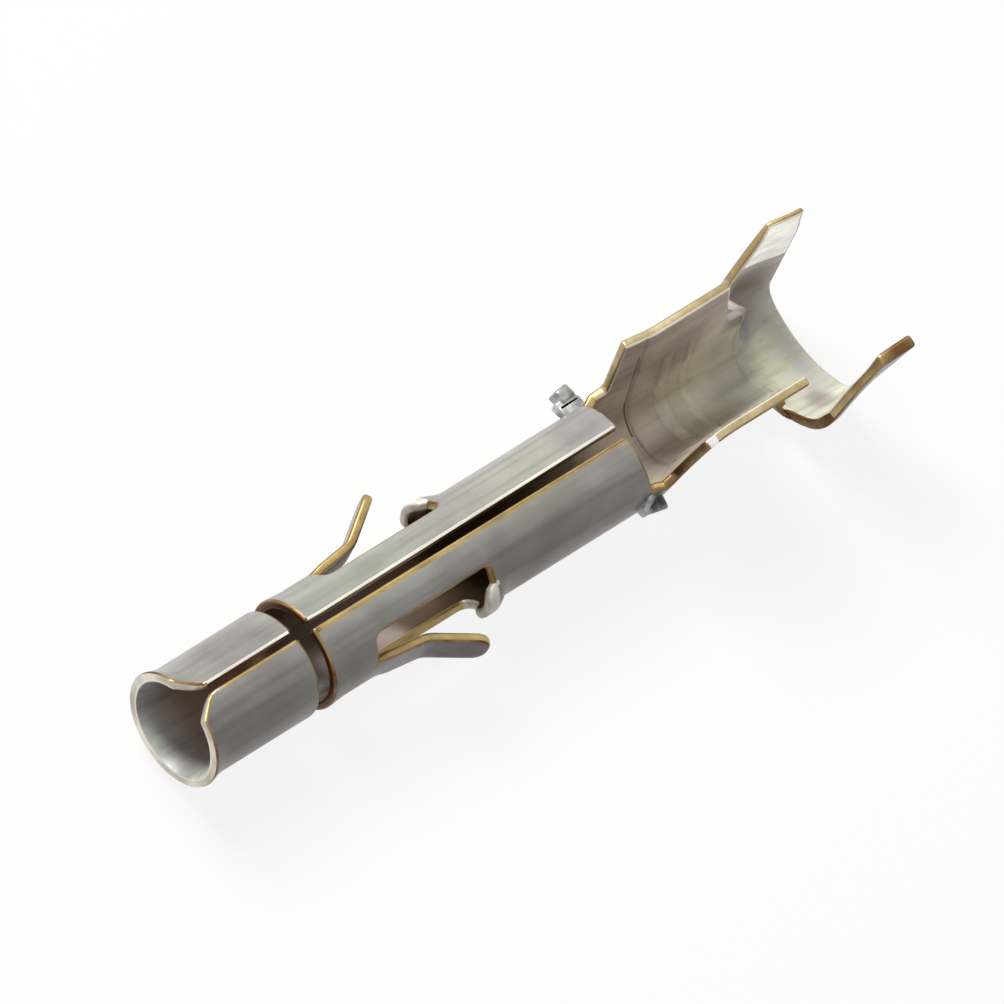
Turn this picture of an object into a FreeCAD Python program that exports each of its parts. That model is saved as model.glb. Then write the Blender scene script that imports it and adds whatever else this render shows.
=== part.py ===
import FreeCAD, Part
import math
import os
import re

import Sketcher
from FreeCAD import Vector

# A socket terminal stamped and rolled from one strip of tinned brass.
# X runs from the mouth to the crimp end, Z points up through the seam,
# and the origin lies on the barrel's axis in the plane of the mouth.

# Driving sizes in millimetres and degrees.
SIZES = {
    "sheet_thickness": 0.27,
    "barrel_radius": 1.60,
    "sleeve_length": 3.82,
    "lip_flare": 0.14,
    "lip_length": 0.55,
    "rim_round": 0.09,
    "slot_width": 0.47,
    "web_rise": 0.50,
    "barrel_length": 11.31,
    "collar_flare": 0.08,
    "collar_length": 0.70,
    "skirt_length": 0.20,
    "sleeve_seam": 0.33,
    "barrel_seam": 0.45,
    "notch_width": 1.44,
    "notch_depth": 0.66,
    "window_setback": 1.66,
    "window_length": 3.80,
    "window_half_angle": 48.0,
    "window_corner": 0.25,
    "lance_width": 1.00,
    "lance_root": 0.55,
    "lance_straight": 1.65,
    "lance_lift": 0.20,
    "lance_reach": 1.60,
    "lance_rise": 0.97,
    "lance_corner": 0.30,
    "stop_height": 0.20,
    "stop_radius": 0.90,
    "stop_angle": 58.0,
    "stop_spread": 30.0,
    "stop_sink": 0.02,
    "stop_overhang": 0.30,
    "stop_slope": 0.70,
    "stub_setback": 0.35,
    "stub_length": 0.85,
    "stub_reach": 0.50,
    "stub_tip": 0.36,
    "stub_thickness": 0.30,
    "neck_length": 0.40,
    "neck_edge_angle": 16.3,
    "neck_flare": 8.0,
    "wire_taper": 1.80,
    "wire_radius": 1.22,
    "wire_floor": 1.60,
    "wire_flare": 11.5,
    "wire_lean": 4.0,
    "wire_shift": 0.20,
    "floor_spread": 40.0,
    "wire_wing_height": 2.50,
    "wire_wing_start": 1.20,
    "wire_wing_length": 3.70,
    "wing_slant": 0.20,
    "serration_setback": 0.10,
    "serration_pitch": 0.85,
    "serration_width": 0.16,
    "serration_depth": 0.05,
    "saddle_length": 1.10,
    "saddle_height": 0.30,
    "saddle_round": 0.35,
    "grip_floor_radius": 3.40,
    "grip_corner": 0.95,
    "grip_floor": 1.93,
    "grip_spread": 27.0,
    "grip_flare": 6.3,
    "grip_lean": 5.2,
    "grip_shift": 0.22,
    "bell_radius": 2.90,
    "bell_corner": 1.60,
    "bell_floor": 1.66,
    "bell_spread": 40.0,
    "bell_flare": 3.0,
    "shoulder_setback": 0.08,
    "shoulder_ramp": 0.06,
    "shoulder_thickness": 0.20,
    "grip_length": 2.00,
    "grip_slant": 0.90,
    "grip_wing_height": 2.72,
    "grip_wing_rise": 0.18,
}

# Stations along X and radii, as expressions of the driving sizes.
INNER = "(barrel_radius - sheet_thickness)"
SLOT_END = "(sleeve_length + slot_width)"
BARREL_END = "(sleeve_length + slot_width + barrel_length)"
SKIRT_END = "(sleeve_length + slot_width + barrel_length + skirt_length)"
WINDOW_START = "(sleeve_length + slot_width + window_setback)"
WINDOW_END = "(sleeve_length + slot_width + window_setback + window_length)"
WIRE_START = "(sleeve_length + slot_width + barrel_length + wire_wing_start)"
NECK_END = "(sleeve_length + slot_width + barrel_length + skirt_length + neck_length)"
WIRE_CHANNEL = ("(sleeve_length + slot_width + barrel_length + skirt_length"
                " + neck_length + wire_taper)")
WIRE_END = "(sleeve_length + slot_width + barrel_length + wire_wing_start + wire_wing_length)"
GRIP_START = ("(sleeve_length + slot_width + barrel_length + wire_wing_start"
              " + wire_wing_length + saddle_length)")
TOTAL = ("(sleeve_length + slot_width + barrel_length + wire_wing_start"
         " + wire_wing_length + saddle_length + grip_length)")
NECK_EDGE = "(barrel_radius * sin(neck_edge_angle))"
WALL_TOP = "(grip_wing_height + grip_wing_rise + sheet_thickness)"
CLEAR = "(2 * barrel_radius)"

BOTH = (1, -1)

doc = FreeCAD.newDocument("socket_terminal")
sheet = doc.addObject("Spreadsheet::Sheet", "Sizes")
for row, (name, size) in enumerate(SIZES.items(), start=1):
    sheet.set("A%d" % row, name)
    sheet.set("B%d" % row, str(size))
    sheet.setAlias("B%d" % row, name)
doc.recompute()


def linked(expression):
    """Point each size named in an expression at its cell of the sheet."""
    def cell(word):
        return "Sizes." + word.group() if word.group() in SIZES else word.group()
    return re.sub(r"[a-z_]+", cell, str(expression))


def value(expression):
    """Work an expression out to a number."""
    result = sheet.evalExpression(linked(expression))
    return float(getattr(result, "Value", result))


def origin_plane(body, role):
    """Find one of the body's own origin planes or axes."""
    for feature in body.Origin.OriginFeatures:
        if feature.Role == role:
            return feature
    raise ValueError(role)


def new_sketch(body, name, role, offset="0"):
    """Start a sketch on an origin plane, moved along its normal."""
    sketch = body.newObject("Sketcher::SketchObject", name)
    sketch.AttachmentSupport = [(origin_plane(body, role), "")]
    sketch.MapMode = "FlatFace"
    sketch.setExpression("AttachmentOffset.Base.z", linked(offset))
    return sketch


def outline(sketch, corners, arcs=None):
    """Close an outline through corners, with some sides as arcs.

    Each corner is a pair of expressions. An arc is given under the number of
    the corner it leaves: its centre, its radius and whether it turns left.
    """
    arcs = arcs or {}
    first = sketch.GeometryCount
    count = len(corners)
    points = [Vector(value(x), value(y), 0) for x, y in corners]
    ends = []
    for index, point in enumerate(points):
        following = points[(index + 1) % count]
        if index in arcs:
            (centre_x, centre_y), radius, left = arcs[index]
            centre = Vector(value(centre_x), value(centre_y), 0)
            start, stop = (point, following) if left else (following, point)
            circle = Part.Circle(centre, Vector(0, 0, 1), value(radius))
            low = math.atan2(start.y - centre.y, start.x - centre.x)
            high = math.atan2(stop.y - centre.y, stop.x - centre.x)
            if high <= low:
                high += 2 * math.pi
            sketch.addGeometry(Part.ArcOfCircle(circle, low, high), False)
            ends.append((1, 2) if left else (2, 1))
        else:
            sketch.addGeometry(Part.LineSegment(point, following), False)
            ends.append((1, 2))
    for index in range(count):
        following = (index + 1) % count
        sketch.addConstraint(Sketcher.Constraint(
            "Coincident", first + index, ends[index][1],
            first + following, ends[following][0]))
    for index, (x, y) in enumerate(corners):
        for kind, distance in (("DistanceX", x), ("DistanceY", y)):
            number = sketch.addConstraint(Sketcher.Constraint(
                kind, -1, 1, first + index, ends[index][0], value(distance)))
            sketch.setExpression("Constraints[%d]" % number, linked(distance))
    for index, (centre, radius, left) in arcs.items():
        number = sketch.addConstraint(Sketcher.Constraint(
            "Radius", first + index, value(radius)))
        sketch.setExpression("Constraints[%d]" % number, linked(radius))


def mirrored(corners):
    """Put an outline on the other side of the middle plane."""
    return [(x, "-(%s)" % y) for x, y in corners]


def extrude(body, kind, name, sketch, length, reverse=False, middle=False):
    """Pad or pocket a sketch by an expression."""
    feature = body.newObject(kind, name)
    feature.Profile = sketch
    feature.Type = 0
    feature.Length = value(length)
    feature.setExpression("Length", linked(length))
    feature.Reversed = reverse
    feature.Midplane = middle
    doc.recompute()
    return feature


def pad(body, name, sketch, length, **options):
    """Add a straight length of a sketch."""
    return extrude(body, "PartDesign::Pad", name, sketch, length, **options)


def pocket(body, name, sketch, length, **options):
    """Cut a straight length of a sketch, and see that it took metal away."""
    before = body.Shape.Volume
    feature = extrude(body, "PartDesign::Pocket", name, sketch, length, **options)
    if not feature.Shape.Volume < before - 1e-6:
        raise RuntimeError(name + " cut nothing")
    return feature


def ruled_loft(body, name, sections):
    """Join sections one after the other by straight lines."""
    loft = body.newObject("PartDesign::AdditiveLoft", name)
    loft.Profile = sections[0]
    loft.Sections = sections[1:]
    loft.Ruled = True
    doc.recompute()


def curved_strip(side, middle, outer, inner, turn):
    """Corners and arcs of a curved strip on one side of the barrel."""
    corners = [
        ("%d * (%s + %s * cos(%s))" % (side, middle, radius, turn),
         "%d * %s * sin(%s)" % (side * up, radius, turn))
        for radius, up in ((outer, -1), (outer, 1), (inner, 1), (inner, -1))]
    centre = ("%d * %s" % (side, middle), "0")
    return corners, {0: (centre, outer, True), 2: (centre, inner, False)}


def round_edges(body, name, edges, radius):
    """Round the numbered edges of what has been built so far."""
    base = body.Tip
    feature = body.newObject("PartDesign::Fillet", name)
    feature.Base = (base, edges)
    feature.Radius = value(radius)
    feature.setExpression("Radius", linked(radius))
    doc.recompute()


def tube(body):
    """Sleeve and barrel as one turned tube, flared at both front edges."""
    sketch = new_sketch(body, "tube_profile", "XZ_Plane")
    outer = [
        ("0", "barrel_radius + lip_flare"),
        ("lip_length", "barrel_radius"),
        ("sleeve_length", "barrel_radius"),
        (SLOT_END, "barrel_radius + collar_flare"),
        (SLOT_END + " + collar_length", "barrel_radius"),
        (SKIRT_END, "barrel_radius"),
    ]
    inner = [(x, "(%s) - sheet_thickness" % y) for x, y in reversed(outer)]
    outline(sketch, outer + inner)
    feature = body.newObject("PartDesign::Revolution", "tube")
    feature.Profile = sketch
    feature.ReferenceAxis = (origin_plane(body, "X_Axis"), [""])
    feature.Angle = 360
    doc.recompute()


def round_rim(body):
    """Round both edges of the mouth."""
    rims = [
        "Edge%d" % number for number, edge in enumerate(body.Shape.Edges, start=1)
        if abs(edge.BoundBox.XMax) < 1e-6 and edge.Length > 1]
    round_edges(body, "rim", rims, "rim_round")


def slot(body):
    """Slot between sleeve and barrel, which leaves a web at the bottom."""
    sketch = new_sketch(body, "slot_profile", "XZ_Plane")
    floor = "web_rise - barrel_radius"
    outline(sketch, [
        ("sleeve_length", floor),
        (SLOT_END, floor),
        (SLOT_END, CLEAR),
        ("sleeve_length", CLEAR),
    ])
    pocket(body, "slot", sketch, "2 * " + CLEAR, middle=True)


def seam(body):
    """Open seam along the top, with a lead-in notch at the mouth."""
    sketch = new_sketch(body, "seam_profile", "XY_Plane")
    side = [
        ("-lip_length", "notch_width / 2"),
        ("0", "notch_width / 2"),
        ("notch_depth", "sleeve_seam / 2"),
        ("sleeve_length", "sleeve_seam / 2"),
        (SLOT_END, "barrel_seam / 2"),
        (SKIRT_END + " + lip_length", "barrel_seam / 2"),
    ]
    outline(sketch, side + mirrored(side)[::-1])
    pocket(body, "seam", sketch, CLEAR, reverse=True)


def windows(body):
    """Window in each side of the barrel, cut along radii of the barrel."""
    sketch = new_sketch(body, "window_profile", "YZ_Plane", WINDOW_START)
    near = "(0.5 * barrel_radius)"
    far = "(1.8 * barrel_radius)"
    for side in BOTH:
        outline(sketch, [
            ("%d * %s * cos(window_half_angle)" % (side, radius),
             "%d * %s * sin(window_half_angle)" % (side * turn, radius))
            for radius, turn in ((near, -1), (far, -1), (far, 1), (near, 1))])
    pocket(body, "windows", sketch, "window_length", reverse=True)


def round_window_corners(body):
    """Round the corners of both windows."""
    corners = []
    for number, edge in enumerate(body.Shape.Edges, start=1):
        box = edge.BoundBox
        middle = edge.CenterOfMass
        across = math.hypot(middle.y, middle.z)
        at_end = min(abs(middle.x - value(WINDOW_START)), abs(middle.x - value(WINDOW_END)))
        if box.XLength < 1e-6 and at_end < 1e-6 and edge.Curve.TypeId == "Part::GeomLine":
            if value(INNER) < across < value("barrel_radius"):
                corners.append("Edge%d" % number)
    round_edges(body, "window_corners", corners, "window_corner")


def stops(body):
    """Bulged lip at the rear end of each window, open towards the lance."""
    opening = new_sketch(body, "stop_opening", "XZ_Plane")
    half = "(stop_radius - sheet_thickness) * sin(stop_angle)"
    lip = WINDOW_END + " - stop_overhang"
    foot = WINDOW_END + " + stop_slope"
    outline(opening, [
        (WINDOW_END + " - sheet_thickness", "-" + half),
        (foot + " - sheet_thickness", "-" + half),
        (foot + " - sheet_thickness", half),
        (WINDOW_END + " - sheet_thickness", half),
    ])
    pocket(body, "stop_openings", opening, "2 * " + CLEAR, middle=True)
    crest = "(barrel_radius + stop_height)"
    middle = "(%s - stop_radius)" % crest
    arch = (middle, "stop_radius", "(stop_radius - sheet_thickness)", "stop_angle")
    wall = ("0", "(barrel_radius - stop_sink)", "(%s + stop_sink)" % INNER, "stop_spread")
    for side, name in ((1, "far"), (-1, "near")):
        sections = []
        for step, place, strip in (("lip", lip, arch), ("crest", WINDOW_END, arch),
                                   ("foot", foot, wall)):
            sketch = new_sketch(body, "%s_stop_%s" % (name, step), "YZ_Plane", place)
            outline(sketch, *curved_strip(side, *strip))
            sections.append(sketch)
        ruled_loft(body, name + "_stop", sections)


def stubs(body):
    """What is left of the carrier strip on each side of the barrel's end."""
    sketch = new_sketch(body, "stub_profile", "XY_Plane")
    start = BARREL_END + " - stub_setback"
    middle = start + " + stub_length / 2"
    side = [
        (start, INNER + " + sheet_thickness / 2"),
        (start, "barrel_radius"),
        (middle + " - stub_tip / 2", "barrel_radius + stub_reach"),
        (middle + " + stub_tip / 2", "barrel_radius + stub_reach"),
        (start + " + stub_length", "barrel_radius"),
        (start + " + stub_length", INNER + " + sheet_thickness / 2"),
    ]
    outline(sketch, side)
    outline(sketch, mirrored(side))
    pad(body, "stubs", sketch, "stub_thickness", middle=True)


def lance_roots(body):
    """Root of each lance, from the barrel's curve to a flat strip."""
    half = "(lance_width / 2)"
    for side, name in ((1, "far"), (-1, "near")):
        curved = new_sketch(body, name + "_root_start", "YZ_Plane",
                            WINDOW_START + " - sheet_thickness / 2")
        flat = new_sketch(body, name + "_root_end", "YZ_Plane",
                          WINDOW_START + " + lance_root")
        turn = "asin(%s / barrel_radius)" % half
        outline(curved, *curved_strip(side, "0", "barrel_radius", INNER, turn))
        lift = "(lance_lift * lance_root / lance_straight)"
        outline(flat, [
            ("%d * (%s + %s)" % (side, radius, lift), "%d * %s" % (side * up, half))
            for radius, up in (("barrel_radius", -1), ("barrel_radius", 1),
                               (INNER, 1), (INNER, -1))])
        ruled_loft(body, name + "_root", [curved, flat])


def lances(body):
    """Locking lances, bent outward towards the crimp end."""
    sketch = new_sketch(body, "lance_profile", "XY_Plane")
    lift = "(lance_lift * lance_root / lance_straight)"
    bend = WINDOW_START + " + lance_straight"
    tip = bend + " + lance_reach"
    slope = "atan(lance_rise / lance_reach)"
    side = [
        (WINDOW_START + " + lance_root", INNER + " + " + lift),
        (bend, INNER + " + lance_lift"),
        (tip, INNER + " + lance_lift + lance_rise"),
        (tip + " - sheet_thickness * sin(%s)" % slope,
         INNER + " + lance_lift + lance_rise + sheet_thickness * cos(%s)" % slope),
        (bend + " - sheet_thickness * tan(%s / 2)" % slope,
         "barrel_radius + lance_lift"),
        (WINDOW_START + " + lance_root", "barrel_radius + " + lift),
    ]
    outline(sketch, side)
    outline(sketch, mirrored(side))
    pad(body, "lances", sketch, "lance_width", middle=True)


def round_lance_tips(body):
    """Round the free corners of both lances."""
    tip_x = value(WINDOW_START + " + lance_straight + lance_reach")
    half = value("lance_width / 2")
    corners = []
    for number, edge in enumerate(body.Shape.Edges, start=1):
        box = edge.BoundBox
        level = abs(abs(edge.CenterOfMass.z) - half) < 1e-6 and box.ZLength < 1e-6
        short = abs(edge.Length - value("sheet_thickness")) < 1e-3
        if level and short and abs(box.XMax - tip_x) < 1e-6:
            corners.append("Edge%d" % number)
    round_edges(body, "lance_tips", corners, "lance_corner")


def channel_skin(section, inward, order):
    """Corners and bends of one skin of an open channel with leaning walls."""
    floor_radius, corner_radius, spread, floor, flare, lean, shift = section
    centre_z = "(%s - %s)" % (floor_radius, floor)
    apart = "(%s - %s)" % (floor_radius, corner_radius)
    corner_z = "(%s - %s * cos(%s))" % (centre_z, apart, spread)
    run = []
    bends = []
    for side in (-1, 1):
        angle = "(%s - %d * %s)" % (flare, side, lean)
        corner_y = "(%s + %d * %s * sin(%s))" % (shift, side, apart, spread)
        bend = "(%s - %s)" % (corner_radius, inward)
        base = "(%s - %s)" % (floor_radius, inward)
        foot = ("(%s + %d * %s * cos(%s))" % (corner_y, side, bend, angle),
                "(%s - %s * sin(%s))" % (corner_z, bend, angle))
        heel = ("(%s + %d * %s * sin(%s))" % (shift, side, base, spread),
                "(%s - %s * cos(%s))" % (centre_z, base, spread))
        top = ("(%s + %d * (%s - %s) * tan(%s))"
               % (foot[0], side, WALL_TOP, foot[1], angle), WALL_TOP)
        run.extend([top, foot, heel][::-side])
        bends.append(((corner_y, corner_z), bend))
    bends.insert(1, ((shift, centre_z), base))
    return run[::order], bends[::order]


def channel_corners(outer, inner, thickness="sheet_thickness"):
    """Corners and arcs of an open channel between an outer and an inner section."""
    corners = []
    arcs = {}
    for section, inward, order in ((outer, "0", 1), (inner, thickness, -1)):
        run, bends = channel_skin(section, inward, order)
        for place, (centre, radius) in enumerate(bends, start=1):
            arcs[len(corners) + place] = (centre, radius, order == 1)
        corners.extend(run)
    return corners, arcs


def round_section(radius, floor, flare, lean="0", shift="0"):
    """Section whose floor and corners share one radius."""
    return (radius, radius, "floor_spread", floor, flare, lean, shift)


BARREL_SECTION = round_section("barrel_radius", "barrel_radius", "(-neck_edge_angle)")
NECK_SECTION = round_section("barrel_radius", "barrel_radius", "neck_flare")
WIRE_SECTION = round_section("wire_radius", "wire_floor", "wire_flare",
                             "wire_lean", "wire_shift")
BELL_SECTION = ("bell_radius", "bell_corner", "bell_spread", "bell_floor",
                "bell_flare", "0", "0")
GRIP_SECTION = ("grip_floor_radius", "grip_corner", "grip_spread", "grip_floor",
                "grip_flare", "grip_lean", "grip_shift")


def channel(body):
    """Open channel behind the barrel, for the wire and its insulation."""
    shoulder = GRIP_START + " - shoulder_setback"
    shoulder_end = shoulder + " + shoulder_thickness"
    stations = [
        ("skirt", BARREL_SECTION, BARREL_SECTION, SKIRT_END),
        ("neck", NECK_SECTION, NECK_SECTION, NECK_END),
        ("wire_front", WIRE_SECTION, WIRE_SECTION, WIRE_CHANNEL),
        ("wire_rear", WIRE_SECTION, WIRE_SECTION, shoulder),
        ("shoulder_front", BELL_SECTION, WIRE_SECTION, shoulder + " + shoulder_ramp"),
        ("shoulder_rear", BELL_SECTION, WIRE_SECTION, shoulder_end),
        ("grip_front", BELL_SECTION, BELL_SECTION, shoulder_end + " + shoulder_ramp"),
        ("grip_rear", GRIP_SECTION, GRIP_SECTION, TOTAL),
    ]
    sketches = []
    for name, outer, inner, place in stations:
        sketch = new_sketch(body, name + "_section", "YZ_Plane", place)
        corners, arcs = channel_corners(outer, inner)
        outline(sketch, corners, arcs)
        sketches.append(sketch)
    ruled_loft(body, "channel", sketches)


def wings(body):
    """Cut the channel's walls to the side view of the crimp wings."""
    sketch = new_sketch(body, "wing_outline", "XZ_Plane")
    over = WALL_TOP + " + sheet_thickness"
    corners = [
        (BARREL_END, over),
        (BARREL_END, "barrel_radius"),
        (SKIRT_END, NECK_EDGE),
        (WIRE_START + " - wing_slant", NECK_EDGE + " + sheet_thickness / 2"),
        (WIRE_START, "wire_wing_height"),
        (WIRE_END, "wire_wing_height"),
        (WIRE_END, "saddle_height + saddle_round"),
        (WIRE_END + " + saddle_round", "saddle_height"),
        (GRIP_START + " + wing_slant", "saddle_height"),
        (GRIP_START + " + grip_slant", "grip_wing_height"),
        (TOTAL, "grip_wing_height + grip_wing_rise"),
        (TOTAL + " + lip_length", "grip_wing_height + grip_wing_rise"),
        (TOTAL + " + lip_length", over),
    ]
    outline(sketch, corners)
    pocket(body, "wings", sketch, "2 * " + CLEAR, middle=True)


def serrations(body):
    """Three shallow grooves across the inside of the wire crimp."""
    place = WIRE_CHANNEL + " + serration_setback"
    sketch = new_sketch(body, "serration_profile", "YZ_Plane", place)
    corners, arcs = channel_corners(WIRE_SECTION, WIRE_SECTION,
                                    "(sheet_thickness - serration_depth)")
    half = len(corners) // 2
    outline(sketch, corners[half:], {
        number - half: arc for number, arc in arcs.items() if number >= half})
    groove = pocket(body, "serration", sketch, "serration_width", reverse=True)
    pattern = body.newObject("PartDesign::LinearPattern", "serrations")
    pattern.Originals = [groove]
    pattern.Direction = (origin_plane(body, "X_Axis"), [""])
    pattern.setExpression("Length", linked("2 * serration_pitch"))
    pattern.Occurrences = 3
    body.Tip = pattern
    doc.recompute()


def check(body):
    """Stop if any object failed or the finished solid is unsound."""
    for thing in doc.Objects:
        if "Invalid" in thing.State or "Error" in thing.State:
            raise RuntimeError("%s failed: %s" % (thing.Name, thing.State))
    shape = body.Shape
    if shape.isNull() or not shape.isValid() or len(shape.Solids) != 1:
        raise RuntimeError("%s is not one sound solid" % body.Label)


def main():
    """Form the terminal and write it out."""
    body = doc.addObject("PartDesign::Body", "socket_terminal")
    body.Label = "socket_terminal"
    tube(body)
    round_rim(body)
    slot(body)
    seam(body)
    windows(body)
    round_window_corners(body)
    stops(body)
    lance_roots(body)
    lances(body)
    round_lance_tips(body)
    channel(body)
    wings(body)
    stubs(body)
    serrations(body)
    check(body)
    box = body.Shape.BoundBox
    print("solids", len(body.Shape.Solids), "volume", round(body.Shape.Volume, 3),
          "box", [round(v, 3) for v in (box.XMin, box.XMax, box.YMin, box.YMax, box.ZMin, box.ZMax)],
          "centre", [round(v, 3) for v in body.Shape.CenterOfGravity])
    os.makedirs("parts", exist_ok=True)
    body.Shape.exportStep(os.path.join("parts", body.Label + ".step"))


main()
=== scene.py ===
import math

import bpy
import numpy as np
from bpy.props import FloatProperty, FloatVectorProperty, PointerProperty
from bpy.types import Operator, Panel, PropertyGroup
from mathutils import Matrix, Vector


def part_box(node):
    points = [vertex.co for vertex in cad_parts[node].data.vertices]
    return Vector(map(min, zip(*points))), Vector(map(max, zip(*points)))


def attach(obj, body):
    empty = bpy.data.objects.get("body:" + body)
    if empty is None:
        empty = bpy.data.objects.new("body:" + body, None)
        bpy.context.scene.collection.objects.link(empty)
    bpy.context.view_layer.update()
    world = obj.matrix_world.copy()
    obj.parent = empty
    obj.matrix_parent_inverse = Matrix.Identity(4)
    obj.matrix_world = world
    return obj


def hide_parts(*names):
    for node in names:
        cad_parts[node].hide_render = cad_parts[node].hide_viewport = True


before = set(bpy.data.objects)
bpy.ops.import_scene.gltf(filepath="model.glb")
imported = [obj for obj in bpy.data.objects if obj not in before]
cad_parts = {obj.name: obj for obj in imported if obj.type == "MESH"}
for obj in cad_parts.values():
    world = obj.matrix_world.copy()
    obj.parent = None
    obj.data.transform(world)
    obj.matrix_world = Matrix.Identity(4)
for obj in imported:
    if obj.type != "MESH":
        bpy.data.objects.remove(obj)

bl_info = {
    "name": "Round Crimp Socket Terminal",
    "version": (1, 0, 0),
    "blender": (4, 5, 0),
    "location": "3D View > Sidebar > Terminal",
    "description": "Rolls and finishes a tinned brass socket terminal with crimp wings",
    "category": "Add Mesh",
}

MM = 0.001
NODE = "socket_terminal"

SKINS = ("tin_outside", "tin_inside", "cut_brass", "outer_edge", "inner_edge",
         "dark_edge", "bright_tin", "lip_tin")
OUTSIDE, INSIDE, BRASS, OUTER_EDGE, INNER_EDGE, PAINTED_SHADE, PAINTED_HIGHLIGHT, LIP_PAINTED_HIGHLIGHT = range(len(SKINS))

NECK_ANGLE = 16.3
NEAR_FOOT = -1.42
FAR_FOOT = -0.25
FAR_BELL = 0.1
FAR_CUT_BACK = 0.35
FAR_TIP_THINNED = 0.4
NEAR_TIP_THICKENED = 0.30
LINE_STEP = 0.115
BURR_LINE = 4.76
SLEEVE_BURR = 4.80
BARREL_BURR = 4.75

CAMERA_BACK = Vector((-0.5014, -0.2312, 0.8338))
CAMERA_RIGHT = Vector((0.7349, -0.6223, 0.2694))
CAMERA_CENTRE = Vector((9.12, -0.89, 5.24)) * MM - CAMERA_BACK * 5.58 * MM
CAMERA_DISTANCE = 1.2
FRAME_WIDTH = 0.026628
SENSOR_WIDTH = 36.0

WHITE_SHARE = 0.88
PAPER_TINT = (0.40, 0.28, 0.34, 1)
DIM_LIGHT = (1.0, 0.95, 0.98, 1)
LAMP_LIGHT = (0.98, 1.0, 0.95)
LAMP_PLACE = (0.0, 0.13, 0.14)
LAMP_SIZE = 0.10
LAMP_WATTS = 0.40
DIM_STRENGTH = 0.12

HUES = ((0.38, (0.88, 0.83, 0.86)), (0.52, (0.97, 0.96, 0.95)), (0.64, (1.0, 1.02, 0.96)))
STREAKS = ((0.34, (0.80, 0.79, 0.79)), (0.50, (0.98, 0.98, 0.98)),
           (0.66, (1.05, 1.05, 1.04)))
# Painted light and shade along the outside skin: painted shade towards the mouth, painted
# light towards the rear, stops in millimetres.
OUTSIDE_PAINTED_LIGHT_AND_SHADE = ((1.0, (0.80, 0.80, 0.79)), (8.0, (0.87, 0.87, 0.86)),
                (15.0, (1.08, 1.08, 1.05)))
# Painted light and shade along the inside skin: painted light just inside the mouth, deep
# brown painted shade inside the barrel, painted light on the crimp's inner faces; stops in
# millimetres.
INSIDE_PAINTED_LIGHT_AND_SHADE = ((0.3, (1.75, 1.85, 1.9)), (2.5, (0.95, 0.55, 0.36)),
               (5.0, (0.34, 0.21, 0.13)), (15.3, (0.20, 0.12, 0.06)),
               (16.6, (1.60, 1.48, 1.32)), (21.0, (1.75, 1.70, 1.58)),
               (23.5, (1.9, 1.9, 1.78)))

# Lumps of each stub: centre and size in millimetres, turn in degrees, taper.
FAR_STUB = (((15.80, 2.14, 0.08), (0.60, 0.50, 0.44), (0, 0, 8), 0.75),
            ((15.76, 1.92, 0.0), (0.78, 0.34, 0.32), (0, 0, 2), 0.9),
            ((15.78, 1.66, 0.0), (0.76, 0.56, 0.32), (0, 0, 0), 1.0))
NEAR_STUB = (((15.68, -1.60, 0.14), (0.66, 0.46, 0.62), (0, 8, 10), 0.35),
             ((15.90, -1.72, -0.04), (0.66, 0.38, 0.20), (0, -6, -14), 0.9))

# Soft patches of painted light and shade on the inside skin: centre and size in millimetres,
# and the tint, above one for painted light and below one for painted shade.
INSIDE_LIGHT_AND_SHADE_PATCHES = (
    ((22.6, 1.8, -0.3), 1.4, (0.44, 0.39, 0.40)),
    ((22.1, 1.33, -1.0), 0.45, (0.62, 0.60, 0.70)),
    ((19.0, 1.2, 0.8), 1.4, (0.80, 0.74, 0.74)),
    ((22.5, 0.3, -1.6), 1.3, (1.40, 1.45, 1.30)),
    ((18.7, -0.1, -1.3), 0.30, (1.25, 1.25, 1.22)),
    ((5.4, -0.4, -1.3), 1.0, (4.5, 6.5, 10)),
    ((7.4, -0.74, -1.1), 1.0, (4.0, 5.4, 8.5)),
    ((4.9, -1.0, -0.9), 0.8, (2.4, 3.4, 5.0)),
    ((5.1, -0.8, -1.06), 0.2, (2.5, 2.5, 2.5)),
    ((22.6, -1.45, -1.2), 0.6, (0.60, 0.54, 0.56)),
    ((10.0, 1.7, 0.2), 0.6, (4.0, 6.0, 8.5)),
    ((21.25, 1.45, 0.6), 0.75, (0.48, 0.44, 0.50)),
)
# The same soft patches of painted light and shade on the outside skin.
OUTSIDE_LIGHT_AND_SHADE_PATCHES = (
    ((8.6, -2.4, 0.0), 1.5, (0.74, 0.66, 0.70)),
    ((21.2, 1.5, 0.5), 0.9, (0.60, 0.55, 0.55)),
    ((14.6, -1.5, -0.4), 1.6, (0.88, 0.80, 0.86)),
    ((2.4, -0.9, 1.2), 1.0, (0.93, 0.90, 0.92)),
    ((12.5, 1.0, 1.2), 1.6, (1.06, 1.08, 1.04)),
)


def length(name, text, default):
    """A size in metres."""
    return FloatProperty(name=name, description=text, default=default * MM,
                         unit="LENGTH", precision=5)


def angle(name, text, default):
    """An angle, given here in degrees."""
    return FloatProperty(name=name, description=text, default=math.radians(default),
                         unit="ROTATION")


def colour(name, text, default):
    """A colour that the user can pick."""
    return FloatVectorProperty(name=name, description=text, default=default,
                               subtype="COLOR", size=3, min=0, max=1)


class StripSizes(PropertyGroup):
    thickness: length("Thickness", "Thickness of the strip", 0.27)
    edge_round: length("Edge round", "Rounding of each stamped edge", 0.085)


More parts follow.
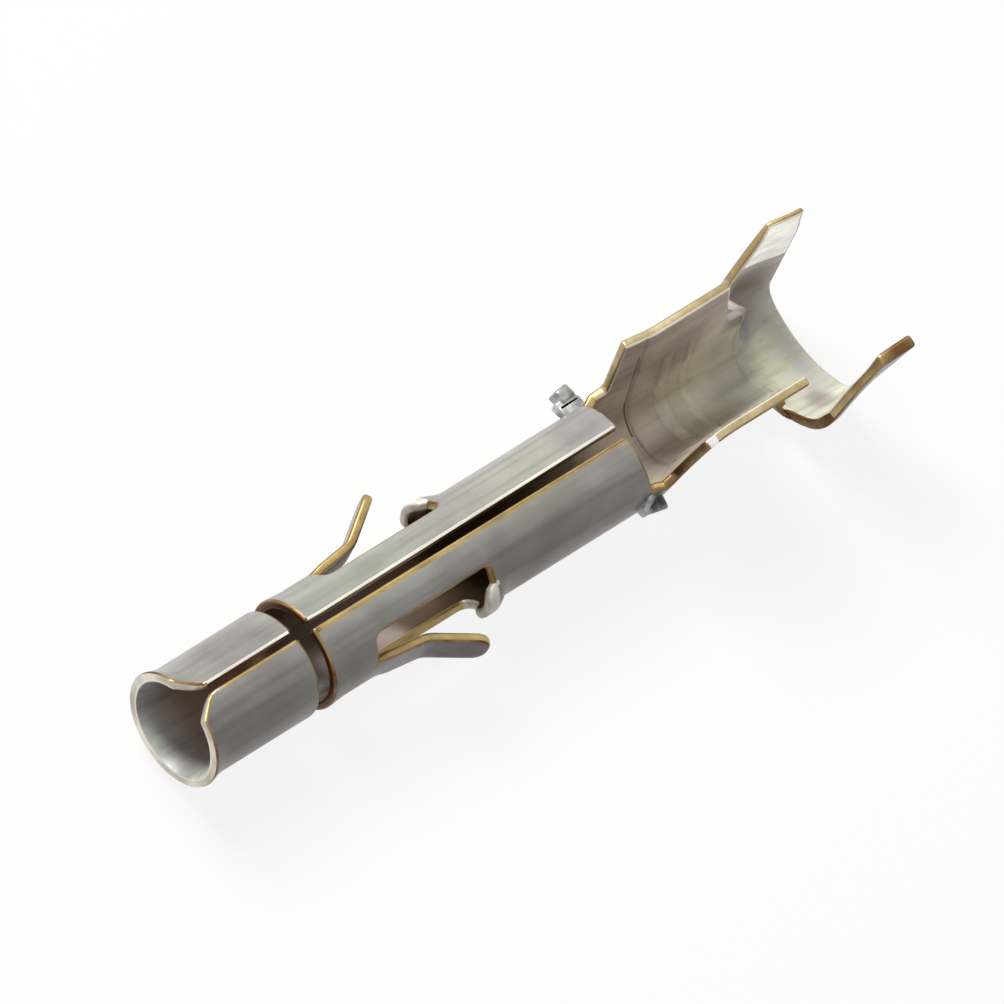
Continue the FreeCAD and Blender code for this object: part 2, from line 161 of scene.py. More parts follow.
class BarrelSizes(PropertyGroup):
    radius: length("Radius", "Outer radius of sleeve and barrel", 1.60)
    sleeve: length("Sleeve", "Length of the front sleeve", 3.82)
    lip_flare: length("Lip flare", "How far the mouth opens", 0.14)
    lip_length: length("Lip length", "Length of the flared mouth", 0.55)
    slot: length("Slot", "Width of the slot behind the sleeve", 0.47)
    web_rise: length("Web rise", "Height of the web that joins sleeve and barrel", 0.50)
    barrel: length("Barrel", "Length of the barrel", 11.31)
    collar_flare: length("Collar flare", "How far the barrel's front edge opens", 0.05)
    collar: length("Collar", "Length of that opening", 0.70)
    sleeve_seam: length("Sleeve seam", "Gap along the sleeve", 0.29)
    barrel_seam: length("Barrel seam", "Gap along the barrel, at its rear", 0.45)
    front_seam: length("Front seam", "The same gap at the barrel's front", 0.32)
    near_share: FloatProperty(name="Near share", default=0.45, min=0, max=0.9,
                              description="How much of its gap the near seam edge closes")
    notch_width: length("Notch width", "Width of the lead-in notch at the mouth", 1.44)
    notch_depth: length("Notch depth", "Depth of the lead-in notch", 0.66)


class WindowSizes(PropertyGroup):
    start: length("Start", "Distance of the windows behind the slot", 1.66)
    window: length("Length", "Length of each window", 4.08)
    half_angle: angle("Half angle", "Half of the angle that each window spans", 48)
    corner: length("Corner", "Corner radius of each window", 0.25)
    lance_width: length("Lance width", "Width of each locking lance", 1.00)
    lance_root: length("Lance root", "Length over which a lance turns flat", 0.55)
    lance_straight: length("Lance straight", "Length of a lance before its bend", 1.60)
    lance_end: length("Lance end", "Length of a lance behind its bend", 1.78)
    lance_lift: angle("Lance lift", "Slope of the first stretch of a lance", 6.9)
    lance_slope: angle("Lance slope", "Slope of the bent end of a lance", 32.4)
    lance_tip: length("Lance tip", "Corner radius of each lance's tip", 0.42)
    lip_height: length("Lip height", "How far the rear lips bulge", 0.27)
    lip_angle: angle("Lip angle", "Half of the angle that each rear lip spans", 29)
    lip_overhang: length("Lip overhang", "How far the lips reach over the window", 0.30)
    lip_slope: length("Lip slope", "Length over which a lip falls back to the barrel", 0.70)


class CrimpSizes(PropertyGroup):
    skirt: length("Skirt", "Length over which the barrel's rear edge falls", 0.20)
    neck: length("Neck", "Length of the open neck", 0.40)
    taper: length("Taper", "Length from the neck to the wire channel", 1.80)
    wire_radius: length("Wire radius", "Floor radius of the wire crimp", 1.22)
    wire_start: length("Wire start", "Start of the wire wings behind the barrel", 1.20)
    wire_wings: length("Wire wings", "Length of the wire wings", 3.70)
    wire_height: length("Wire height", "Height of the wire wings over the axis", 2.50)
    saddle: length("Saddle", "Length between the two pairs of wings", 1.10)
    saddle_height: length("Saddle height", "Height of the near edge between the wings", -1.08)
    far_saddle: length("Far saddle", "The same on the far side, which is cut less deep", 0.55)
    bell_edge: length("Bell edge", "Height at which the rear wings' front edges start", -0.25)
    shoulder: length("Shoulder", "Length of the step up to the insulation crimp", 0.14)
    shoulder_back: length("Shoulder back", "Start of the step before the rear wings", 0.16)
    bell_floor: length("Bell floor", "Depth of the insulation crimp's front", 1.66)
    grip_floor: length("Grip floor", "Depth of the insulation crimp below the axis", 1.92)
    grip_wings: length("Grip wings", "Length of the insulation wings", 2.00)
    grip_height: length("Grip height", "Height of the insulation wings at the front", 2.70)
    grip_rise: length("Grip rise", "How much higher they are at the rear", 0.15)
    groove: length("Groove", "Depth of each serration", 0.045)
    ridge: length("Ridge", "Height of the two ridges at the step", 0.035)


class Finish(PropertyGroup):
    tin: colour("Tin", "Colour of the tin plating", (0.50, 0.50, 0.47))
    tin_dull: colour("Dull tin", "Colour of the duller patches", (0.36, 0.34, 0.33))
    brass: colour("Brass", "Colour of the bare cut edges", (0.52, 0.38, 0.16))
    # Dark brass is tarnish, and also painted shade on edges in shade and in the slot.
    brass_dark: colour("Dark brass", "Colour of tarnished cut edges", (0.13, 0.06, 0.02))
    # Cream and straw are partly smeared plating and partly painted highlight on the lit edges.
    cream: colour("Cream edge", "Colour of edges with smeared plating", (0.93, 0.90, 0.78))
    straw: colour("Straw edge", "Colour of the wings' worn edges", (0.72, 0.60, 0.36))
    backdrop: colour("Backdrop", "Colour of the floor and backdrop", (1.0, 1.0, 1.0))


class Terminal(PropertyGroup):
    strip: PointerProperty(type=StripSizes)
    barrel: PointerProperty(type=BarrelSizes)
    window: PointerProperty(type=WindowSizes)
    crimp: PointerProperty(type=CrimpSizes)
    finish: PointerProperty(type=Finish)


class Plan:
    """The sizes in millimetres and the stations along the terminal."""

    def __init__(self):
        terminal = bpy.context.scene.terminal
        for group in ("strip", "barrel", "window", "crimp"):
            sizes = getattr(terminal, group)
            holder = type(group, (), {})()
            for name in sizes.__annotations__:
                size = getattr(sizes, name)
                is_length = sizes.bl_rna.properties[name].unit == "LENGTH"
                setattr(holder, name, size / MM if is_length else size)
            setattr(self, group, holder)
        barrel, window, crimp = self.barrel, self.window, self.crimp
        self.slot_end = barrel.sleeve + barrel.slot
        self.barrel_end = self.slot_end + barrel.barrel
        self.skirt_end = self.barrel_end + crimp.skirt
        self.window_start = self.slot_end + window.start
        self.window_end = self.window_start + window.window
        self.neck_end = self.skirt_end + crimp.neck
        self.channel = self.neck_end + crimp.taper
        self.wire_start = self.barrel_end + crimp.wire_start
        self.wire_end = self.wire_start + crimp.wire_wings
        self.grip_start = self.wire_end + crimp.saddle
        self.end = self.grip_start + crimp.grip_wings
        self.shoulder = self.grip_start - crimp.shoulder_back
        self.quarter = barrel.radius * math.pi / 2
        self.web = barrel.radius * math.acos(1 - barrel.web_rise / barrel.radius)
        wire = crimp.wire_radius
        full = barrel.radius
        ramp = [self.shoulder, self.shoulder + crimp.shoulder]
        self.sections = {
            "floor_radius": [(self.neck_end, full), (self.channel, wire),
                             (ramp[0], wire), (ramp[1], 2.9), (self.end, 3.4)],
            "corner_radius": [(self.neck_end, full), (self.channel, wire),
                              (ramp[0], wire), (ramp[1], 1.6), (self.end, 0.95)],
            "spread": [(ramp[0], 40), (self.end, 27)],
            "floor": [(ramp[0], full), (ramp[1], crimp.bell_floor),
                      (self.end, crimp.grip_floor)],
            "flare": [(self.skirt_end, -NECK_ANGLE), (self.neck_end, 8), (self.channel, 11.5),
                      (ramp[0], 11.5), (ramp[1], 3), (self.end, 6.3)],
            "lean": [(self.neck_end, 0), (self.channel, 4), (ramp[0], 4),
                     (ramp[1], 0), (self.end, 5.2)],
            "shift": [(self.neck_end, 0), (self.channel, 0.2), (ramp[0], 0.2),
                      (ramp[1], 0), (self.end, 0.22)],
        }


def ease(amount):
    """Go smoothly from nought to one."""
    amount = np.clip(amount, 0, 1)
    return amount * amount * (3 - 2 * amount)


def between(x, keys):
    """Follow keyed values along X, eased from each to the next."""
    x = np.asarray(x, float)
    result = np.full(x.shape, float(keys[0][1]))
    for (low, first), (high, last) in zip(keys, keys[1:]):
        result += (last - first) * ease((x - low) / (high - low))
    return result


def ring_radius(plan, x):
    """Outer radius of sleeve and barrel, with their flared front edges."""
    barrel = plan.barrel
    mouth = barrel.lip_flare * np.clip(1 - x / barrel.lip_length, 0, 1) ** 1.5
    rise = ease((x - barrel.sleeve) / barrel.slot)
    fall = 1 - ease((x - plan.slot_end) / barrel.collar)
    return barrel.radius + mouth + barrel.collar_flare * rise * fall


def lance_path(plan):
    """Places along a lance's middle line and how far it has moved out."""
    window = plan.window
    along = np.linspace(0, window.lance_straight + window.lance_end + 0.2, 400)
    turn = ease((along - window.lance_straight + 0.2) / 0.4)
    bend = window.lance_slope - window.lance_lift
    slope = window.lance_lift * ease(along / 0.4) + bend * turn
    step = along[1] - along[0]
    forward = np.concatenate(([0], np.cumsum(np.cos(slope[:-1]) * step)))
    outward = np.concatenate(([0], np.cumsum(np.sin(slope[:-1]) * step)))
    return along, forward, outward


def skin(plan, x, s, lance):
    """Outer skin of the rolled strip, for flat places x along and s around it."""
    side = np.where(s < 0, -1.0, 1.0)
    rolled = x <= plan.skirt_end
    ring = ring_radius(plan, x)
    part = {name: between(x, keys) for name, keys in plan.sections.items()}
    floor_radius = np.where(rolled, ring, part["floor_radius"])
    corner_radius = np.where(rolled, ring, part["corner_radius"])
    floor = np.where(rolled, ring, part["floor"])
    wall = np.radians(np.where(rolled, -90.0, part["flare"] - side * part["lean"]))
    spread = np.radians(part["spread"])
    shift = part["shift"]
    run = np.abs(s) * np.where(rolled, ring / plan.barrel.radius, 1.0)

    first = np.minimum(run, floor_radius * spread)
    rest = run - first
    corner_turn = math.pi / 2 - wall - spread
    second = np.clip(rest, 0, corner_radius * corner_turn)
    third = rest - second
    turn = first / floor_radius + second / corner_radius
    start = first / floor_radius
    y = floor_radius * np.sin(start) + corner_radius * (np.sin(turn) - np.sin(start))
    z = -floor_radius * np.cos(start) - corner_radius * (np.cos(turn) - np.cos(start))
    y = shift + side * (y + third * np.cos(turn))
    z = floor_radius - floor + z + third * np.sin(turn)

    away = np.abs(s) / plan.barrel.radius - math.pi / 2
    window = plan.window
    crest = plan.barrel.radius + window.lip_height
    swell = crest * np.cos(away) - plan.barrel.radius
    swell = 0.5 * (swell + np.sqrt(swell * swell + 0.0006))
    swell = np.where(np.abs(away) < 0.8, swell, 0)
    begin = plan.window_end - window.lip_overhang
    rise = np.where(x < begin - 0.2, 0.0, 1 - ease((x - plan.window_end) / window.lip_slope))
    rise = np.where(x > plan.window_end + window.lip_slope, 0.0, rise)
    y = y + side * np.cos(away) * swell * rise * (lance == 0)
    z = z + np.sin(away) * swell * rise * (lance == 0)

    along, forward, outward = lance_path(plan)
    travel = x - plan.window_start
    flat = ease(travel / window.lance_root)
    width = np.abs(s) - plan.quarter
    lance_x = plan.window_start + np.interp(travel, along, forward)
    push = np.interp(travel, along, outward)
    bowed = plan.barrel.radius * np.cos(width / plan.barrel.radius)
    lance_y = side * (bowed * (1 - flat) + plan.barrel.radius * flat + push)
    lance_z = (plan.barrel.radius * np.sin(width / plan.barrel.radius) * (1 - flat)
               + width * flat)
    on_lance = lance == 1
    return np.stack([np.where(on_lance, lance_x, x), np.where(on_lance, lance_y, y),
                     np.where(on_lance, lance_z, z)], axis=-1)


def marks(plan):
    """Serrations and ridges across the crimp, as places, heights and reaches."""
    groove, ridge = plan.crimp.groove, plan.crimp.ridge
    first = plan.channel - 0.5
    return [(first, -1.6 * groove, 4.3),
            (first + 1.0, groove, 2.7), (first + 1.4, -groove, 2.7),
            (first + 1.9, groove, 2.9), (first + 2.15, -groove, 2.7),
            (plan.shoulder, ridge, 3.4), (plan.shoulder + 0.24, ridge, 3.4)]


def strip_depth(plan, x, s):
    """Share of the strip's thickness that is left, under serrations and thinned tips."""
    left = np.ones_like(x)
    for middle, step, reach in marks(plan):
        share = 1 - ease((np.abs(x - middle) - 0.03) / 0.07)
        left += share * (1 - ease((np.abs(s) - reach) / 0.7)) * step / plan.strip.thickness
    tip = ease((x - plan.grip_start - 0.4) / 0.4) * ease((np.abs(s) - 5.3) / 0.8)
    left -= np.where(s > 0, FAR_TIP_THINNED, -NEAR_TIP_THICKENED) * tip
    return left


def roll(plan, flat):
    """Move each corner of the flat blank to its place in the rolled terminal."""
    x, s, depth = flat[:, 0], flat[:, 1], flat[:, 2]
    inside = np.abs(np.abs(s) - plan.quarter) < plan.window.lance_width / 2 + 0.02
    reach = plan.window_start + plan.window.lance_straight + plan.window.lance_end
    lance = (inside & (x > plan.window_start + 1e-4) & (x < reach + 0.02)).astype(int)
    place = skin(plan, x, s, lance)
    small = 1e-3
    along = skin(plan, x + small, s, lance) - skin(plan, x - small, s, lance)
    around = skin(plan, x, s + small, lance) - skin(plan, x, s - small, lance)
    out = np.cross(around, along)
    out /= np.linalg.norm(out, axis=1, keepdims=True)
    place -= out * (depth * strip_depth(plan, x, s))[:, None]
    place[:, 0] = np.clip(place[:, 0], 0, plan.end)
    return place


def rounded(corners):
    """Outline through corners (x, y, radius), each rounded by an arc."""
    result = []
    count = len(corners)
    for index, (x, y, radius) in enumerate(corners):
        here = Vector((x, y))
        before = Vector(corners[index - 1][:2]) - here
        after = Vector(corners[(index + 1) % count][:2]) - here
        if radius == 0 or before.length < 1e-6 or after.length < 1e-6:
            result.append((x, y))
            continue
        half = before.angle(after) / 2
        cut = min(radius / math.tan(half), 0.45 * before.length, 0.45 * after.length)
        radius = cut * math.tan(half)
        middle = here + (before.normalized() + after.normalized()).normalized() \
            * (radius / math.sin(half))
        start = here + before.normalized() * cut - middle
        turn = start.angle_signed(here + after.normalized() * cut - middle)
        steps = max(2, int(abs(turn) / 0.25))
        first = math.atan2(start.y, start.x)
        for step in range(steps + 1):
            way = first - turn * step / steps
            result.append((middle.x + radius * math.cos(way),
                           middle.y + radius * math.sin(way)))
    return result


def seam_edge(plan, x, gap):
    """Flat place of a seam's edge, which is half a gap off the middle plane."""
    ring = float(ring_radius(plan, np.array(x)))
    return plan.barrel.radius * (math.pi - math.asin(gap / 2 / ring))


def edge_place(plan, x, z, side):
    """Flat place at which the rolled strip reaches a height."""
    s = side * np.linspace(0.001, 8, 3000)
    spots = skin(plan, np.full_like(s, x), s, np.zeros_like(s))
    return float(np.interp(z, spots[:, 2], s))


def side_outline(plan, side):
    """One side of the blank from the mouth to the rear, as flat places."""
    barrel, crimp = plan.barrel, plan.crimp
    reach = 1 if side > 0 else 1 - barrel.near_share
    notch = seam_edge(plan, 0, barrel.notch_width)
    sleeve = seam_edge(plan, 1.0, barrel.sleeve_seam * reach)
    front = seam_edge(plan, plan.slot_end, barrel.front_seam * reach)
    collar = seam_edge(plan, plan.slot_end + 1, barrel.front_seam * reach)
    top = seam_edge(plan, plan.slot_end + 1, barrel.barrel_seam * reach)
    rolled = [
        (-1, 0, 0),
        (0, 0, 0),
        (0, notch, 0.30),
        (barrel.notch_depth, sleeve, 0.40),
        (barrel.sleeve, sleeve, 0.10),
        (barrel.sleeve, plan.web, 0.06),
        (plan.slot_end, plan.web, 0.06),
        (plan.slot_end, front, 0.10),
        (plan.slot_end + barrel.collar, collar, 0),
        (plan.barrel_end, top, 0),
        (plan.barrel_end, 0, 0),
    ]
    points = [(x, side * s) for x, s in rounded(rolled)[2:-2]]
    height = float(-barrel.radius * math.cos(top / barrel.radius))
    neck = barrel.radius * math.sin(math.radians(NECK_ANGLE))
    thick = plan.strip.thickness
    low, foot, start, back = crimp.saddle_height, NEAR_FOOT, crimp.bell_edge, 0
    if side > 0:
        low, foot, start, back = crimp.far_saddle, FAR_FOOT, FAR_BELL, FAR_CUT_BACK
    open_side = [
        (plan.barrel_end - 1, height, 0),
        (plan.barrel_end, height, 0.06),
        (plan.skirt_end, neck, 0.12),
        (plan.wire_start - 0.2, neck + thick / 2, 0.15),
        (plan.wire_start, crimp.wire_height, 0.08),
        (plan.wire_end, crimp.wire_height, 0.08),
        (plan.wire_end + back, low, 0.30),
        (plan.shoulder - 0.02, low, 0.03),
        (plan.grip_start - 0.02, foot, 0.03),
        (plan.grip_start, start, 0.15),
        (plan.grip_start + 0.9, crimp.grip_height, 0.10),
        (plan.end, crimp.grip_height + crimp.grip_rise, 0.06),
        (plan.end, -1, 0),
        (plan.end, -5, 0),
    ]
    crimp_line = rounded(open_side)[1:-2]
    dense = []
    for (x0, z0), (x1, z1) in zip(crimp_line, crimp_line[1:]):
        steps = max(1, int(math.hypot(x1 - x0, z1 - z0) / 0.12))
        for step in range(steps):
            share = step / steps
            dense.append((x0 + (x1 - x0) * share, z0 + (z1 - z0) * share))
    dense.append(crimp_line[-1])
    points += [(x, edge_place(plan, x, z, side)) for x, z in dense]
    return points


def window_outline(plan, side):
    """Outline of one window, with its lance and rear lip left standing."""
    window = plan.window
    radius = plan.barrel.radius
    low = plan.quarter - radius * window.half_angle
    high = plan.quarter + radius * window.half_angle
    half = window.lance_width / 2
    tip = plan.window_start + window.lance_straight + window.lance_end
    lip = radius * window.lip_angle
    front = plan.window_end - window.lip_overhang
    corners = [
        (plan.window_start, low, window.corner),
        (plan.window_end, low, window.corner),
        (plan.window_end, plan.quarter - lip, 0.05),
        (front + 0.12, plan.quarter - lip * 0.86, 0.12),
        (front, plan.quarter - lip * 0.55, 0.30),
        (front, plan.quarter + lip * 0.55, 0.30),
        (front + 0.12, plan.quarter + lip * 0.86, 0.12),
        (plan.window_end, plan.quarter + lip, 0.05),
        (plan.window_end, high, window.corner),
        (plan.window_start, high, window.corner),
        (plan.window_start, plan.quarter + half, 0.08),
        (tip, plan.quarter + half, window.lance_tip),
        (tip, plan.quarter - half, window.lance_tip),
        (plan.window_start, plan.quarter - half, 0.08),
    ]
    return [(x, side * s) for x, s in rounded(corners)]


def only(piece):
    """Select one object and make it active."""
    bpy.ops.object.select_all(action="DESELECT")
    piece.select_set(True)
    bpy.context.view_layer.objects.active = piece


def cut_blank(plan):
    """Stamp the flat blank out of strip, with rounded edges, and mark it in strips."""
    curve = bpy.data.curves.new("blank", "CURVE")
    curve.dimensions = "2D"
    curve.fill_mode = "BOTH"
    far = side_outline(plan, 1)
    near = side_outline(plan, -1)
    for points in (far + near[::-1], window_outline(plan, 1), window_outline(plan, -1)):
        spline = curve.splines.new("POLY")
        spline.points.add(len(points) - 1)
        spline.points.foreach_set(
            "co", np.array([(x, s, 0, 1) for x, s in points], float).ravel())
        spline.use_cyclic_u = True
    edge = plan.strip.edge_round
    curve.extrude = plan.strip.thickness / 2 - edge
    curve.bevel_depth = edge
    curve.bevel_resolution = 2
    curve.offset = -edge
    blank = bpy.data.objects.new("terminal_strip", curve)
    bpy.context.collection.objects.link(blank)
    only(blank)
    bpy.ops.object.convert(target="MESH")
    blank = bpy.context.active_object
    bpy.ops.object.mode_set(mode="EDIT")
    bpy.ops.mesh.select_all(action="SELECT")
    bpy.ops.mesh.remove_doubles(threshold=1e-5)
    bpy.ops.mesh.dissolve_limited(angle_limit=math.radians(0.5))
    bpy.ops.mesh.select_all(action="SELECT")
    bpy.ops.mesh.normals_make_consistent(inside=False)
    for x in fold_stations(plan):
        bpy.ops.mesh.select_all(action="SELECT")
        bpy.ops.mesh.bisect(plane_co=(x, 0, 0), plane_no=(1, 0, 0))
    for s in fold_lines(plan):
        bpy.ops.mesh.select_all(action="SELECT")
        bpy.ops.mesh.bisect(plane_co=(0, s, 0), plane_no=(0, 1, 0))
    bpy.ops.object.mode_set(mode="OBJECT")
    return blank


def fold_stations(plan):
    """Places along the strip where it changes shape."""
    barrel, window = plan.barrel, plan.window
    runs = [
        (0.04, barrel.lip_length, 9),
        (0.9, barrel.sleeve, 4),
        (barrel.sleeve + 0.06, plan.slot_end, 5),
        (plan.slot_end + 0.08, plan.slot_end + barrel.collar, 7),
        (plan.window_start, plan.window_start + window.lance_root, 7),
        (plan.window_start + 0.8, plan.window_start + window.lance_straight - 0.3, 3),
        (plan.window_start + window.lance_straight - 0.2,
         plan.window_start + window.lance_straight + 0.2, 9),
        (plan.window_start + 2.2, plan.window_end - window.lip_overhang, 4),
        (plan.window_end - 0.1, plan.window_end + window.lip_slope, 10),
        (plan.window_end + 1.5, plan.barrel_end - 0.3, 6),
        (plan.barrel_end - 0.1, plan.channel, 22),
        (plan.channel + 2.3, plan.wire_end, 3),
        (plan.wire_end + 0.2, plan.shoulder - 0.2, 3),
        (plan.shoulder - 0.15, plan.shoulder + plan.crimp.shoulder + 0.05, 16),
        (plan.grip_start + 0.4, plan.end - 0.1, 10),
    ]
    places = [x for low, high, count in runs for x in np.linspace(low, high, count)]
    for middle, _, _ in marks(plan):
        places += [middle + step for step in (-0.10, -0.07, -0.04, 0.04, 0.07, 0.10)]
    return places


def fold_lines(plan):
    """Places around the strip where it bends."""
    places = [*np.arange(0, 4.95, LINE_STEP), BURR_LINE, *np.arange(5.2, 6.4, 0.3)]
    return places + [-s for s in places[1:]]


def face_kinds(plan, x, s, up):
    """Material of each face of the flat blank, by its place and the way it faces, with painted
    highlight and painted shade on some edges and faces.
    """
    kinds = np.select([up > 0.98, up < -0.98, up > 0.45, up < -0.45],
                      [INSIDE, OUTSIDE, INNER_EDGE, OUTER_EDGE], BRASS)
    edge = kinds > INSIDE
    on_tube = (x > 0.75) & (x < plan.barrel_end + 0.1)
    off_slot = (np.abs(x - plan.barrel.sleeve) > 0.1) & (np.abs(x - plan.slot_end) > 0.1)
    seam = edge & (np.abs(s) > 4.2) & on_tube & off_slot
    far_seam, near_seam = seam & (s > 0), seam & (s < 0)
    # The far seam's outer rounding gets a painted highlight, and its other edge faces get
    # painted shade.
    kinds[far_seam] = np.where(kinds[far_seam] == OUTER_EDGE, PAINTED_HIGHLIGHT, PAINTED_SHADE)
    kinds[near_seam] = BRASS

    # Near edges of the neck and taper get painted shade.
    near_front = (s < 0) & (x > plan.skirt_end + 0.1) & (x < plan.wire_start + 0.05)
    kinds[edge & near_front] = PAINTED_SHADE
    behind = (x > plan.wire_end + 0.1) & (x < plan.grip_start + 0.15)
    saddle = edge & (np.abs(s) < 3.9) & behind
    near_saddle = saddle & (s < -0.5)
    # Saddle edges take the inner tin, except the near shoulder's front face, which gets
    # painted shade.
    kinds[saddle & (s > 0.5)] = INSIDE
    kinds[near_saddle] = np.where(x[near_saddle] > plan.shoulder, PAINTED_SHADE, INSIDE)

    burr = np.where(x < plan.slot_end, -SLEEVE_BURR, -BARREL_BURR)
    on_barrel = (x > 0.9) & (x < plan.barrel_end)
    kinds[(kinds == OUTSIDE) & (s < burr) & on_barrel] = BRASS
    # The first serration's groove gets painted shade.
    first = marks(plan)[0][0]
    on_mark = (s > 0.5) & (s < 3.9) & (np.abs(x - first) < 0.03)
    kinds[(kinds == INSIDE) & on_mark] = PAINTED_SHADE
    # The far insulation wing's inner tip gets a painted highlight.
    kinds[(kinds == INSIDE) & (s > 4.2) & (x > plan.grip_start + 0.35)] = PAINTED_HIGHLIGHT
    # The near wire wing's front edge gets a painted highlight.
    kinds[edge & (s < -3) & (np.abs(x - plan.wire_start - 0.2) < 0.14)] = PAINTED_HIGHLIGHT
    # The near insulation wing's tip edges get painted shade.
    kinds[edge & (s < -5.3) & (x > plan.grip_start + 1.0)] = PAINTED_SHADE

    # The rear lips behind the windows get a painted highlight.
    at_lip = (x > plan.window_end - 0.4) & (x < plan.window_end + 0.12)
    at_lip &= (np.abs(s) < 3.3) & (np.abs(np.abs(s) - plan.quarter) < 1.30)
    kinds[at_lip & (kinds != INSIDE)] = LIP_PAINTED_HIGHLIGHT
    return kinds


def form_strip(plan):
    """Roll and fold the blank into the terminal."""
    blank = cut_blank(plan)
    mesh = blank.data
    count = len(mesh.vertices)
    flat = np.empty(count * 3)
    mesh.vertices.foreach_get("co", flat)
    flat = flat.reshape(-1, 3)
    half = plan.strip.thickness / 2
    flat[:, 2] = np.clip(flat[:, 2], -half, half) + half
    normals = np.empty(len(mesh.polygons) * 3)
    mesh.polygons.foreach_get("normal", normals)
    up = normals.reshape(-1, 3)[:, 2]
    middles = np.empty(len(mesh.polygons) * 3)
    mesh.polygons.foreach_get("center", middles)
    x, s = middles.reshape(-1, 3)[:, :2].T
    kinds = face_kinds(plan, x, s, up)
    mesh.vertices.foreach_set("co", (roll(plan, flat) * MM).ravel())
    for name in SKINS:
        mesh.materials.append(bpy.data.materials[name])
    mesh.polygons.foreach_set("material_index", kinds.astype(np.int32))
    mesh.update()
    only(blank)
    bpy.ops.object.shade_smooth_by_angle(angle=math.radians(50))
    return blank


class Nodes:
    """Short way to add and join a material's nodes."""

    def __init__(self, material):
        material.use_nodes = True
        self.tree = material.node_tree
        self.tree.nodes.clear()

    def add(self, kind, values=None, **settings):
        """Add a node, set its own settings and its sockets' values or links."""
        node = self.tree.nodes.new(kind)
        for name, setting in settings.items():
            setattr(node, name, setting)
        for name, given in (values or {}).items():
            socket = node.inputs[name]
            if isinstance(given, bpy.types.NodeSocket):
                self.tree.links.new(given, socket)
            else:
                socket.default_value = given
        return node

    def ramp(self, factor, stops):
        """Colour ramp with stops of place and colour."""
        node = self.add("ShaderNodeValToRGB", {"Fac": factor})
        elements = node.color_ramp.elements
        elements[0].position, elements[0].color = stops[0][0], (*stops[0][1], 1)
        elements[1].position, elements[1].color = stops[-1][0], (*stops[-1][1], 1)
        for place, shade in stops[1:-1]:
            elements.new(place).color = (*shade, 1)
        return node.outputs["Color"]


def along(nodes, place, stops):
    """Colour that changes along the terminal, with stops in millimetres."""
    whole = 24.0
    parts = nodes.add("ShaderNodeSeparateXYZ", {"Vector": place})
    share = nodes.add("ShaderNodeMath", {0: parts.outputs["X"], 1: 1 / (whole * MM)},
                      operation="MULTIPLY")
    return nodes.ramp(share.outputs[0], [(x / whole, shade) for x, shade in stops])


def blend(nodes, factor, first, second, how="MIX"):
    """Mix or multiply two colours."""
    mix = nodes.add("ShaderNodeMix", data_type="RGBA", blend_type=how, clamp_result=True)
    for socket, given in zip([mix.inputs[0], mix.inputs[6], mix.inputs[7]],
                             [factor, first, second]):
        if isinstance(given, bpy.types.NodeSocket):
            nodes.tree.links.new(given, socket)
        else:
            socket.default_value = given
    return mix.outputs[2]


def light_and_shade_patch(nodes, place, base, centre, size, shade):
    """Paint a soft round patch of light and shade onto a surface, with its centre and size in
    millimetres.
    """
    middle = nodes.add("ShaderNodeVectorMath", {0: place, 1: [part * MM for part in centre]},
                       operation="DISTANCE")
    near = nodes.add("ShaderNodeMapRange", {
        "Value": middle.outputs["Value"], "From Min": size * MM, "From Max": 0.35 * size * MM},
        interpolation_type="SMOOTHSTEP")
    return blend(nodes, near.outputs["Result"], base,
                 blend(nodes, 1.0, base, (*shade, 1), "MULTIPLY"))


def tin_material(name, light, dull, roughness, metal, face, scale=420.0):
    """Satin tin plating with soft cloudy patches and rolling marks, and painted light and
    shade on the inside and outside skins.
    """
    nodes = Nodes(bpy.data.materials.new(name))
    place = nodes.add("ShaderNodeTexCoord").outputs["Object"]
    cloud = nodes.add("ShaderNodeTexNoise", {
        "Vector": place, "Scale": scale, "Detail": 5.0, "Roughness": 0.55})
    grain = nodes.add("ShaderNodeTexNoise", {
        "Vector": nodes.add("ShaderNodeMapping", {
            "Vector": place, "Scale": (600.0, 5200.0, 5200.0)}).outputs["Vector"],
        "Scale": 1.0, "Detail": 4.0})
    base = nodes.ramp(cloud.outputs["Fac"], [(0.35, dull), (0.62, light)])
    tint = nodes.add("ShaderNodeTexNoise", {
        "Vector": place, "Scale": 260.0, "Detail": 3.0, "Roughness": 0.6})
    hue = nodes.ramp(tint.outputs["Fac"], HUES)
    base = blend(nodes, 1.0, base, hue, "MULTIPLY")
    streak = nodes.add("ShaderNodeTexNoise", {
        "Vector": nodes.add("ShaderNodeMapping", {
            "Vector": place, "Scale": (160.0, 3600.0, 3600.0)}).outputs["Vector"],
        "Scale": 1.0, "Detail": 3.0})
    drawn = nodes.ramp(streak.outputs["Fac"], STREAKS)
    base = blend(nodes, 1.0, base, drawn, "MULTIPLY")
    # The inside and outside skins get painted light and shade along the terminal and in soft
    # patches.
    for side, stops, patches in (("outside", OUTSIDE_PAINTED_LIGHT_AND_SHADE, OUTSIDE_LIGHT_AND_SHADE_PATCHES),
                                 ("inside", INSIDE_PAINTED_LIGHT_AND_SHADE, INSIDE_LIGHT_AND_SHADE_PATCHES)):
        if face != side:
            continue
        base = blend(nodes, 1.0, base, along(nodes, place, stops), "MULTIPLY")
        for centre, size, shade in patches:
            base = light_and_shade_patch(nodes, place, base, centre, size, shade)
    rough = nodes.add("ShaderNodeMapRange", {
        "Value": cloud.outputs["Fac"], "From Min": 0.3, "From Max": 0.7,
        "To Min": roughness + 0.06, "To Max": roughness - 0.04})
    bump = nodes.add("ShaderNodeBump", {
        "Height": grain.outputs["Fac"], "Strength": 0.08, "Distance": 0.00001})
    shader = nodes.add("ShaderNodeBsdfPrincipled", {
        "Base Color": base, "Roughness": rough.outputs["Result"], "Metallic": metal,
        "Normal": bump.outputs["Normal"]})
    nodes.add("ShaderNodeOutputMaterial", {"Surface": shader.outputs["BSDF"]})


